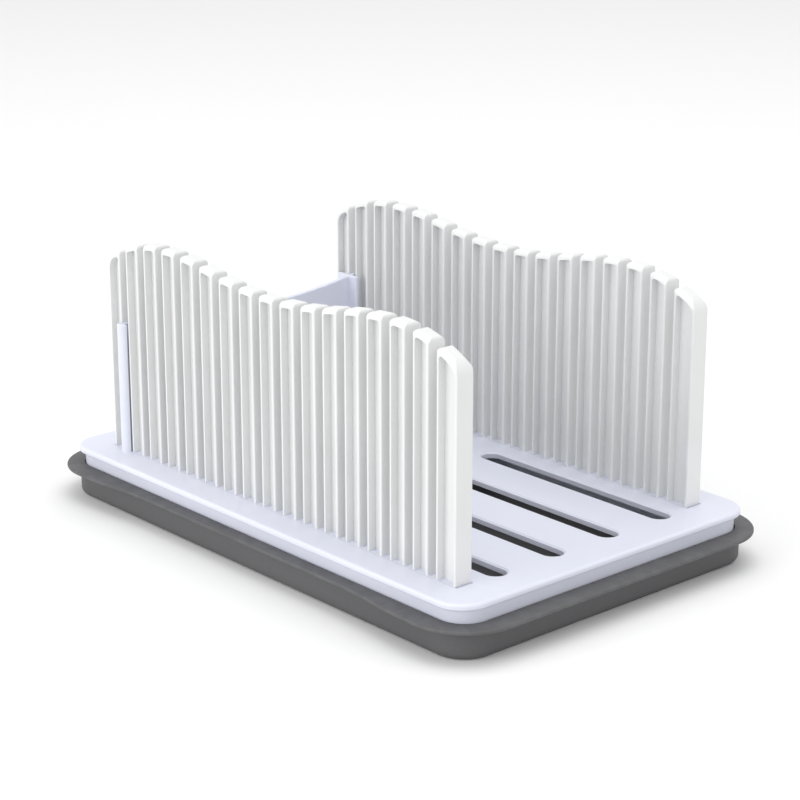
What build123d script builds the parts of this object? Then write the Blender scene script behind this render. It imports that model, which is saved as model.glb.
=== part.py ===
from build123d import *
import math
import os

# A bread slicer guide: two comb walls plugged into a board that stands in a crumb tray, with a back
# stop across them. Sizes are in millimetres. X runs along the loaf, from the back stop (-X) to the
# open front (+X), Y runs across it, and Z is up from the surface that the tray stands on.

# Side guides
tooth_count = 17
tooth_pitch = 14.75
tooth_length = 9.75
front_tooth_length = 12.4
guide_thickness = 9.4
loaf_width = 135.0  # between the inner faces of the guides
flange_width = 1.3  # of a tooth's channel, each side of its recess
recess_depth = 3.8  # in from each face, which leaves a thin web
cap_height = 2.5  # top of a tooth, above its recess
hump_height = 108.2  # top of the wave above the board
dip_height = 100.5
hump_x = 82.0
inflection_x = 45.5
outer_wave_radius = 80.0
guide_end_radius = 8.0
tooth_top_radius = 1.4  # side view of a tooth, at its knife slots
tooth_crown_radius = 3.0  # across the guide
crown_margin = 0.02  # by which the crown stands clear of the tooth that it rounds
tooth_edge_round = 0.5
rail_depth = 9.0  # foot rail below the board's top

# Base board
board_top = 25.5
board_length = 287.2
board_width = 184.2
board_corner_radius = 14.6
plate_thickness = 3.0
plate_top_round = 1.3
plate_bottom_round = 0.8
skirt_length = 283.0
skirt_width = 178.0
skirt_corner_radius = 12.6
skirt_thickness = 1.8
groove_side_gap = 0.2
groove_end_gap = 0.8
pocket_wall = 1.6
slot_width = 10.3
slot_inner_end = 7.0  # half the bridge between the front and rear slots
slot_outer_end = 127.0
slot_spacing = 34.4
slot_round = 0.8
rib_thickness = 2.0
rib_height = 8.0

# Crumb tray
tray_length = 288.8
tray_width = 183.8
tray_corner_radius = 15.8
tray_wall = 2.1
rim_height = 16.2
rim_thickness = 1.7
rim_length = 305.0
rim_width = 199.6
rim_corner_radius = 27.5
rim_waist = 3.6  # how far the rim is drawn in along each long side
waist_flat_x = 65.0
waist_end_x = 125.0
tray_bottom_round = 3.5
tray_floor_round = 0.6
rim_edge_round = 0.6

# Back stop
stop_web = 2.6
stop_height = 65.0
stop_dip = 5.5  # how far its top edge sinks between the guides
stop_gap = 0.25  # to each face of a guide
stop_slot_gap = 0.1  # it leans on the rear side of its slots
stop_flange_length = 15.0
stop_flange_thickness = 2.5
stop_flange_round = 0.83  # its upright edges
stop_post_radius = 3.0
stop_round = 0.7  # edges of its top

# Shared by the cuts and the search for edges
overrun = 1.0  # by which a cut runs past the face that it opens
tolerance = 1e-4

# Worked out from the sizes above
guide_length = (tooth_count - 1) * tooth_pitch + front_tooth_length
guide_start = -guide_length / 2
guide_y = loaf_width / 2 + guide_thickness / 2
inner_face = loaf_width / 2
outer_face = inner_face + guide_thickness
rail_bottom = board_top - rail_depth
plate_bottom = board_top - plate_thickness
stop_x = guide_start + tooth_length + stop_slot_gap + stop_web / 2
tray_floor = tray_wall


def column(section, bottom, top):
    """A flat section, drawn about the origin, stood up between two heights."""
    return extrude(Pos(0, 0, bottom) * section, top - bottom)


def rounded_slab(length, width, radius, bottom, top):
    return column(RectangleRounded(length, width, radius), bottom, top)


def edges_at(solid, height):
    """The edges that lie flat at one height."""
    level = [e for e in solid.edges() if e.bounding_box().size.Z < tolerance]
    return [e for e in level if abs(e.center().Z - height) < tolerance]


# Side guides ---------------------------------------------------------------------------------------


def wave_height(x):
    """Height of a guide's top edge above the board: a dip arc, a hump arc, then the arc to the end."""
    turn = 2 * math.atan((hump_height - dip_height) / hump_x)
    dip_radius = inflection_x / math.sin(turn)
    hump_radius = (hump_x - inflection_x) / math.sin(turn)
    u = abs(x)
    if u <= inflection_x:
        return dip_height + dip_radius - math.sqrt(dip_radius**2 - u**2)
    radius = hump_radius if u <= hump_x else outer_wave_radius
    return hump_height - radius + math.sqrt(radius**2 - (u - hump_x) ** 2)


def tooth_span(index):
    """Both ends of a tooth along X. The front tooth is longer than the others."""
    left = guide_start + index * tooth_pitch
    length = front_tooth_length if index == tooth_count - 1 else tooth_length
    return left, left + length


def tooth_side(index, inset, drop, foot):
    """Side view of a tooth, brought in by inset at both sides and lowered by drop at the wave."""
    left, right = tooth_span(index)
    left, right = left + inset, right - inset
    tops = [(x, board_top + wave_height(x) - drop) for x in (left, (left + right) / 2, right)]
    return make_face([
        ThreePointArc(*tops),
        Line(tops[2], (right, foot)),
        Line((right, foot), (left, foot)),
        Line((left, foot), tops[0]),
    ])


def rounded_corners(face, index, inset):
    """A tooth's side view with its top corners rounded: slightly at a slot, broadly at a guide's end."""
    box = face.bounding_box()
    top_corners_above = board_top + dip_height / 2
    for x, at_end in ((box.min.X, index == 0), (box.max.X, index == tooth_count - 1)):
        corner = [v for v in face.vertices() if abs(v.X - x) < tolerance and v.Y > top_corners_above]
        face = fillet(corner, guide_end_radius - inset if at_end else tooth_top_radius)
    return face


def face_edges(solid, half):
    """The edges above the board in both faces of a solid, which lie half its thickness out."""
    edges = [e for e in solid.edges() if abs(abs(e.center().Y) - half) < tolerance]
    return [e for e in edges if e.center().Z > board_top]


def tooth(index):
    """A channel open to both faces of the guide, closed at the top by a crowned cap."""
    outline = rounded_corners(tooth_side(index, 0, 0, board_top - rail_depth / 2), index, 0)
    block = extrude(Plane.XZ * outline, guide_thickness / 2, both=True)
    block = fillet(face_edges(block, guide_thickness / 2), tooth_edge_round)
    half = guide_thickness / 2 + crown_margin
    crown = extrude(Plane.XZ * tooth_side(index, -overrun, -crown_margin, rail_bottom), half, both=True)
    arcs = [e for e in face_edges(crown, half) if e.geom_type == GeomType.CIRCLE]
    block &= fillet(arcs, tooth_crown_radius)
    depth = recess_depth + overrun
    opening = rounded_corners(tooth_side(index, flange_width, cap_height, board_top), index, flange_width)
    recess = extrude(Plane.XZ * opening, depth / 2, both=True)
    for side in (-1, 1):
        block -= Pos(0, side * (guide_thickness / 2 - recess_depth + depth / 2), 0) * recess
    return block


def guide(y):
    """A comb wall in one piece: its teeth, on a foot rail that sinks into the board."""
    body = Pos(0, 0, board_top - rail_depth / 2) * Box(guide_length, guide_thickness, rail_depth)
    for index in range(tooth_count):
        body += tooth(index)
    return Pos(0, y, 0) * body


# Base board ----------------------------------------------------------------------------------------


def skirt():
    """The wall of the board, down to the tray's floor."""
    length, width = skirt_length - 2 * skirt_thickness, skirt_width - 2 * skirt_thickness
    radius = skirt_corner_radius - skirt_thickness
    outer = rounded_slab(skirt_length, skirt_width, skirt_corner_radius, tray_floor, plate_bottom)
    return outer - rounded_slab(length, width, radius, tray_floor, plate_bottom)


def crumb_slot(x_side, y):
    """A round-ended slot through the plate, with its upper edge eased."""
    length = slot_outer_end - slot_inner_end
    x = x_side * (slot_outer_end + slot_inner_end) / 2
    cut = column(SlotOverall(length, slot_width), plate_bottom - overrun, board_top)
    lip = loft([
        Pos(0, 0, board_top - slot_round) * SlotOverall(length, slot_width),
        Pos(0, 0, board_top) * SlotOverall(length + 2 * slot_round, slot_width + 2 * slot_round),
    ])
    return Pos(x, y, 0) * (cut + lip)


def base_board():
    """Plate, skirt, the two closed pockets that hold the guides' rails, and a rib under the bridges."""
    plate = rounded_slab(board_length, board_width, board_corner_radius, plate_bottom, board_top)
    plate = fillet(edges_at(plate, board_top), plate_top_round)
    plate = fillet(edges_at(plate, plate_bottom), plate_bottom_round)
    board = plate + skirt()
    inner_width = skirt_width - skirt_thickness
    rib_z = plate_bottom - rib_height / 2
    board += Pos(0, 0, rib_z) * Box(rib_thickness, inner_width, rib_height)
    groove_length = guide_length + 2 * groove_end_gap
    groove_width = guide_thickness + 2 * groove_side_gap
    pocket_bottom = rail_bottom - pocket_wall
    pocket = Rectangle(groove_length + 2 * pocket_wall, groove_width + 2 * pocket_wall)
    for side in (-1, 1):
        board += Pos(0, side * guide_y, 0) * column(pocket, pocket_bottom, plate_bottom)
    groove = Rectangle(groove_length, groove_width)
    for side in (-1, 1):
        board -= Pos(0, side * guide_y, 0) * column(groove, rail_bottom, board_top)
    for row in (-1.5, -0.5, 0.5, 1.5):
        for x_side in (-1, 1):
            board -= crumb_slot(x_side, row * slot_spacing)
    return board


# Crumb tray ----------------------------------------------------------------------------------------


def rim_section():
    """Plan of the flange: round ears at the corners, drawn in along both long sides."""
    plan = RectangleRounded(rim_length, rim_width, rim_corner_radius)
    edge = rim_width / 2
    waist = edge - rim_waist
    middle = (waist_flat_x + waist_end_x) / 2
    scoop = make_face([
        Bezier((-waist_end_x, edge), (-middle, edge), (-middle, waist), (-waist_flat_x, waist)),
        Line((-waist_flat_x, waist), (waist_flat_x, waist)),
        Bezier((waist_flat_x, waist), (middle, waist), (middle, edge), (waist_end_x, edge)),
        Line((waist_end_x, edge), (-waist_end_x, edge)),
    ])
    return plan - scoop - mirror(scoop, Plane.XZ)


def crumb_tray():
    body = rounded_slab(tray_length, tray_width, tray_corner_radius, 0, rim_height)
    body = fillet(edges_at(body, 0), tray_bottom_round)
    rim = column(rim_section(), rim_height - rim_thickness, rim_height)
    rim = fillet(edges_at(rim, rim_height) + edges_at(rim, rim_height - rim_thickness), rim_edge_round)
    length, width = tray_length - 2 * tray_wall, tray_width - 2 * tray_wall
    hollow = rounded_slab(length, width, tray_corner_radius - tray_wall, tray_floor, rim_height)
    hollow = fillet(edges_at(hollow, tray_floor), tray_floor_round)
    return body + rim - hollow


# Back stop -----------------------------------------------------------------------------------------


def stop_web_plate():
    """The plate across the loaf, with level tops in the slots and a shallow dip between the guides."""
    reach = outer_face + stop_gap
    shoulder = inner_face - stop_gap
    top = board_top + stop_height
    face = make_face([
        Line((-reach, board_top), (reach, board_top)),
        Line((reach, board_top), (reach, top)),
        Line((reach, top), (shoulder, top)),
        ThreePointArc((shoulder, top), (0, top - stop_dip), (-shoulder, top)),
        Line((-shoulder, top), (-reach, top)),
        Line((-reach, top), (-reach, board_top)),
    ])
    web = extrude(Plane.YZ * face, stop_web / 2, both=True)
    long_arcs = [e for e in web.edges() if e.geom_type == GeomType.CIRCLE]
    return fillet(long_arcs, stop_round)


def stop_upright(section, y):
    """A post or flange on the end of the web, as tall as the web and with its top edge rounded."""
    top = board_top + stop_height
    upright = column(Pos(0, y) * section, board_top, top)
    return fillet(edges_at(upright, top), stop_round)


def back_stop():
    """The web, with a flange inside each guide and a half-round post outside it."""
    body = stop_web_plate()
    flange = RectangleRounded(stop_flange_length, stop_flange_thickness, stop_flange_round)
    span = 2 * stop_post_radius
    for side in (-1, 1):
        body += stop_upright(flange, side * (inner_face - stop_gap - stop_flange_thickness / 2))
        post = Circle(stop_post_radius) & Pos(0, side * stop_post_radius) * Rectangle(span, span)
        body += stop_upright(post, side * (outer_face + stop_gap))
    return Pos(stop_x, 0, 0) * body


pieces = {
    "crumb_tray": crumb_tray(),
    "base_board": base_board(),
    "near_guide": guide(-guide_y),
    "far_guide": guide(guide_y),
    "back_stop": back_stop(),
}
os.makedirs("parts", exist_ok=True)
for name, piece in pieces.items():
    solid = piece.solid()
    solid.label = name
    export_step(solid, f"parts/{name}.step")
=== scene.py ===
import math

import bpy
import numpy as np
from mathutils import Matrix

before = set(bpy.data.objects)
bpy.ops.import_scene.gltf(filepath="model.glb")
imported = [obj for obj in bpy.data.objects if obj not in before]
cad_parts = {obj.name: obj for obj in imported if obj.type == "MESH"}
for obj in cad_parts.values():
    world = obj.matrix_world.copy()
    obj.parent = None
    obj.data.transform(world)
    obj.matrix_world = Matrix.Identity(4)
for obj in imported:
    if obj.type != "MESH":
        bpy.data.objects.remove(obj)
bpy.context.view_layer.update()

# Crumb tray ----------------------------------------------------------------------------------------
# The shallow tray that everything stands in, with a flange turned out all round its rim. It is moulded
# in one shot from mid-grey polypropylene with a fine matt grain; a paler band on the rim's edge is a painted
# highlight.

TRAY_GREY = (0.095, 0.095, 0.0985)
# Pale grey for the real speckle and for the painted highlight along the rim.
TRAY_SPECKLE_AND_HIGHLIGHT = (0.16, 0.16, 0.165)
TRAY_DRIFT = 0.045
RIM_TOP = 0.0162
RIM_UNDERSIDE = 0.0145


class Reading:
    """A number or vector inside a finish, so that sums on it are written as plain expressions."""

    def __init__(self, finish, socket):
        self.finish, self.socket = finish, socket

    def math(self, operation, *others):
        return self.finish.node("ShaderNodeMath", {"operation": operation}, dict(enumerate((self, *others))))

    def __add__(self, other):
        return self.math("ADD", other)

    def __sub__(self, other):
        return self.math("SUBTRACT", other)

    def __rsub__(self, other):
        return self.finish.node("ShaderNodeMath", {"operation": "SUBTRACT"}, {0: other, 1: self})

    def __mul__(self, other):
        return self.math("MULTIPLY", other)

    def __abs__(self):
        return self.math("ABSOLUTE")

    __radd__ = __add__

    def between(self, low, high):
        """0 below low, 1 above high, and a smooth S between them."""
        settings = {"interpolation_type": "SMOOTHSTEP"}
        return self.finish.node("ShaderNodeMapRange", settings, {"Value": self, "From Min": low, "From Max": high})


class Finish:
    """A material being built up on one shader, in the coordinates of the whole object, in metres."""

    def __init__(self, name, roughness, gloss=0.5):
        self.material = bpy.data.materials.new(name)
        self.material.use_nodes = True
        self.tree = self.material.node_tree
        self.shader = self.tree.nodes["Principled BSDF"]
        self.shader.inputs["Roughness"].default_value = roughness
        self.shader.inputs["Specular IOR Level"].default_value = gloss
        self.place = self.node("ShaderNodeTexCoord", output="Object")

    def node(self, kind, settings=(), values=(), output=0):
        """Adds a node: its settings first, then its sockets' values or links. Returns one output."""
        made = self.tree.nodes.new(kind)
        for name, value in dict(settings).items():
            setattr(made, name, value)
        for name, value in dict(values).items():
            if isinstance(value, Reading):
                self.tree.links.new(value.socket, made.inputs[name])
            else:
                made.inputs[name].default_value = value
        return Reading(self, made.outputs[output])

    def axis(self, name):
        return self.node("ShaderNodeSeparateXYZ", {}, {"Vector": self.place}, name)

    def clouds(self, size, detail=2.0, roughness=0.5, stretch=(1, 1, 1)):
        """Noise from 0 to 1, in patches about size metres across, drawn out along an axis by stretch."""
        scale = tuple(1 / (size * s) for s in stretch)
        where = self.node("ShaderNodeVectorMath", {"operation": "MULTIPLY"}, {0: self.place, 1: scale})
        values = {"Vector": where, "Scale": 1.0, "Detail": detail, "Roughness": roughness}
        return self.node("ShaderNodeTexNoise", {}, values)

    def blend(self, factor, first, second):
        """The first colour where factor is 0, the second where it is 1, on the mix node's colour sockets."""
        first, second = (c if isinstance(c, Reading) else (*c, 1) for c in (first, second))
        return self.node("ShaderNodeMix", {"data_type": "RGBA"}, {0: factor, 6: first, 7: second}, 2)

    def relief(self, height, depth, under=None):
        """Bumps depth metres high where height is 1, laid over those of under."""
        values = {"Height": height, "Strength": 1.0, "Distance": depth}
        if under is not None:
            values["Normal"] = under
        return self.node("ShaderNodeBump", {}, values)

    def set(self, **sockets):
        """Links readings to the shader's sockets, such as Base_Color."""
        for name, value in sockets.items():
            self.tree.links.new(value.socket, self.shader.inputs[name.replace("_", " ")])
        return self.material


def tray_plastic():
    """Grey plastic that drifts a little with the melt's flow, with a 0.5 mm grain, pale speckle and a painted
    highlight along the rim.
    """
    finish = Finish("tray_plastic", roughness=0.5)
    height = finish.axis("Z")
    # Painted highlight: a paler, glossier band around the rim's rounded edge, where it catches the light.
    rim_highlight_band = 1 - abs(height - (RIM_TOP + RIM_UNDERSIDE) / 2).between(0.0004, 0.0016)
    drift = finish.clouds(0.045, detail=3, stretch=(2.5, 1, 1))
    speckle = finish.clouds(0.0011, detail=2, roughness=0.6)
    rim_highlight = rim_highlight_band * finish.clouds(0.006, detail=4).between(0.35, 0.75) * 0.35
    darker, lighter = ([c * (1 + shift) for c in TRAY_GREY] for shift in (-TRAY_DRIFT, TRAY_DRIFT))
    grey = finish.blend(drift.between(0.3, 0.7), darker, lighter)
    grey = finish.blend(speckle.between(0.5, 0.8) * 0.16, grey, TRAY_SPECKLE_AND_HIGHLIGHT)
    waves = finish.relief(finish.clouds(0.02, detail=1), 0.00006)
    grain = finish.relief(finish.clouds(0.0005, detail=2, roughness=0.65), 0.00005, waves)
    return finish.set(
        Base_Color=finish.blend(rim_highlight, grey, TRAY_SPECKLE_AND_HIGHLIGHT),
        Roughness=0.56 - rim_highlight * 0.3 + drift * 0.06,
        Normal=grain,
    )


def finished(node, material):
    """Gives a frame node its finish in every one of its material slots."""
    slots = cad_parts[node].data.materials
    slots.clear()
    slots.append(material)


finished("crumb_tray", tray_plastic())

# Base board ----------------------------------------------------------------------------------------
# The slotted board between the two guides: a thin plate over an inset skirt, moulded in bluish white
# polypropylene. It stands loose in the tray, and its satin surface shows a faint ripple.

BOARD_WHITE = (0.765, 0.787, 0.885)
BOARD_SHADE = (0.735, 0.758, 0.862)


def board_plastic():
    """Bluish white plastic, a shade deeper in broad clouds, with a 3 mm ripple and a very fine grain."""
    finish = Finish("board_plastic", roughness=0.34)
    cloud = finish.clouds(0.06, detail=2, stretch=(2, 1, 1))
    fine = finish.clouds(0.004, detail=3)
    ripple = finish.relief(finish.clouds(0.0035, detail=1), 0.000012)
    grain = finish.relief(finish.clouds(0.0004, detail=1), 0.000012, ripple)
    return finish.set(
        Base_Color=finish.blend(cloud.between(0.3, 0.7), BOARD_WHITE, BOARD_SHADE),
        Roughness=0.32 + fine * 0.08,
        Normal=grain,
    )


finished("base_board", board_plastic())

# Side guides ---------------------------------------------------------------------------------------
# Two comb walls of 17 channel-shaped teeth, one along each side. Both come from one mould, in a
# neutral white ABS with a satin face, and push down into the board's grooves.

GUIDE_WHITE = (0.80, 0.807, 0.805)
GUIDE_SHADE = (0.775, 0.782, 0.78)
RAIL_TOP = 0.0255


def guide_plastic():
    """Neutral white plastic with draw marks that run up the teeth, and the board's tint on the foot rail."""
    finish = Finish("guide_plastic", roughness=0.38)
    draw = finish.clouds(0.0016, detail=3, stretch=(1, 1, 14))
    cloud = finish.clouds(0.05, detail=2)
    tooth = finish.blend(cloud.between(0.3, 0.7), GUIDE_WHITE, GUIDE_SHADE)
    rail = 1 - finish.axis("Z").between(RAIL_TOP + 0.0001, RAIL_TOP + 0.0004)
    marks = finish.relief(draw, 0.000015)
    grain = finish.relief(finish.clouds(0.0004, detail=1), 0.00001, marks)
    return finish.set(
        Base_Color=finish.blend(rail, tooth, BOARD_WHITE),
        Roughness=0.36 + draw * 0.08,
        Normal=grain,
    )


guide_finish = guide_plastic()
finished("near_guide", guide_finish)
finished("far_guide", guide_finish)

# Back stop -----------------------------------------------------------------------------------------
# A plate that drops into the rearmost slot of both guides and closes that end. It is moulded in
# the board's bluish white, and its H-shaped ends clasp the guides.

finished("back_stop", board_plastic())

# Floor ---------------------------------------------------------------------------------------------
# A plain pale floor for the object to stand on. It isn't part of the object.

FLOOR_REACH = 9.0
FLOOR_CELLS = 4


def floor_sheet():
    """A flat square grid: x and y run from minus to plus FLOOR_REACH, and z is 0."""
    row = FLOOR_CELLS + 1
    steps = np.linspace(-FLOOR_REACH, FLOOR_REACH, row)
    x, y = (a.ravel() for a in np.meshgrid(steps, steps))
    cell = np.arange(FLOOR_CELLS**2)
    cell = cell + cell // FLOOR_CELLS
    quads = np.stack([cell, cell + 1, cell + row + 1, cell + row], axis=1)
    mesh = bpy.data.meshes.new("floor")
    mesh.from_pydata(np.stack([x, y, np.zeros_like(x)], axis=1).tolist(), [], quads.tolist())
    return bpy.data.objects.new("floor", mesh)


def floor_paint():
    """A matt off-white that a camera or a reflection sees as near white, with the object's shadow kept."""
    finish = Finish("floor_paint", roughness=0.9, gloss=0.1)
    cloud = finish.clouds(0.8, detail=2)
    ray = [finish.node("ShaderNodeLightPath", output=kind) for kind in ("Is Camera Ray", "Is Glossy Ray")]
    seen = (ray[0] + ray[1]).math("MINIMUM", 1.0)
    pale = finish.blend(seen, (0.80, 0.80, 0.80), (0.93, 0.93, 0.93))
    return finish.set(Base_Color=pale, Roughness=0.88 + cloud * 0.06)


floor = floor_sheet()
bpy.context.scene.collection.objects.link(floor)
floor.data.materials.append(floor_paint())

# Studio light --------------------------------------------------------------------------------------
# Soft lamps in a pale surround: the main one low on the near side, where the outer face of the near
# guide looks at it, a weak one in front and one overhead.


def softbox(name, place, target, size, power):
    """A square lamp of that size in metres, facing the target."""
    lamp = bpy.data.lights.new(name, "AREA")
    lamp.shape, lamp.size, lamp.energy = "SQUARE", size, power
    box = bpy.data.objects.new(name, lamp)
    toward = np.subtract(target, place)
    flat = math.hypot(toward[0], toward[1])
    box.location = place
    box.rotation_euler = (math.atan2(flat, -toward[2]), 0, math.atan2(-toward[0], toward[1]))
    bpy.context.scene.collection.objects.link(box)


SURROUND_LIGHT = 0.80
SURROUND_SEEN = 1.0

softbox("main_light", (-0.5, -2.3, 0.55), (0, 0, 0.04), 1.7, 25)
softbox("front_light", (2.2, -0.6, 0.7), (0, 0, 0.06), 1.5, 5)
softbox("top_light", (0.1, 0.2, 2.2), (0, 0, 0), 1.8, 17)

surround = bpy.data.worlds.new("surround")
bpy.context.scene.world = surround
surround.use_nodes = True
sky = surround.node_tree
ray = sky.nodes.new("ShaderNodeLightPath")
seen = sky.nodes.new("ShaderNodeMath")
seen.operation = "MAXIMUM"
sky.links.new(ray.outputs["Is Camera Ray"], seen.inputs[0])
sky.links.new(ray.outputs["Is Glossy Ray"], seen.inputs[1])
strength = sky.nodes.new("ShaderNodeMapRange")
sky.links.new(seen.outputs[0], strength.inputs["Value"])
strength.inputs["To Min"].default_value = SURROUND_LIGHT
strength.inputs["To Max"].default_value = SURROUND_SEEN
sky.nodes["Background"].inputs["Color"].default_value = (1, 1, 1, 1)
sky.links.new(strength.outputs[0], sky.nodes["Background"].inputs["Strength"])

# Camera --------------------------------------------------------------------------------------------
# The photograph's view: from the open front, over the near guide, a little above the object.

CAMERA_ELEVATION = 17.65
CAMERA_AZIMUTH = 48.5

lens = bpy.data.cameras.new("camera")
lens.lens = 100.9
lens.sensor_width = 36.0
lens.clip_start = 0.05
lens.clip_end = 60.0
camera = bpy.data.objects.new("camera", lens)
camera.location = (0.76013, -0.67042, 0.38462)
camera.rotation_euler = (math.radians(90 - CAMERA_ELEVATION), 0, math.radians(CAMERA_AZIMUTH))
bpy.context.scene.collection.objects.link(camera)
bpy.context.scene.camera = camera
bpy.context.scene.view_settings.view_transform = "Standard"
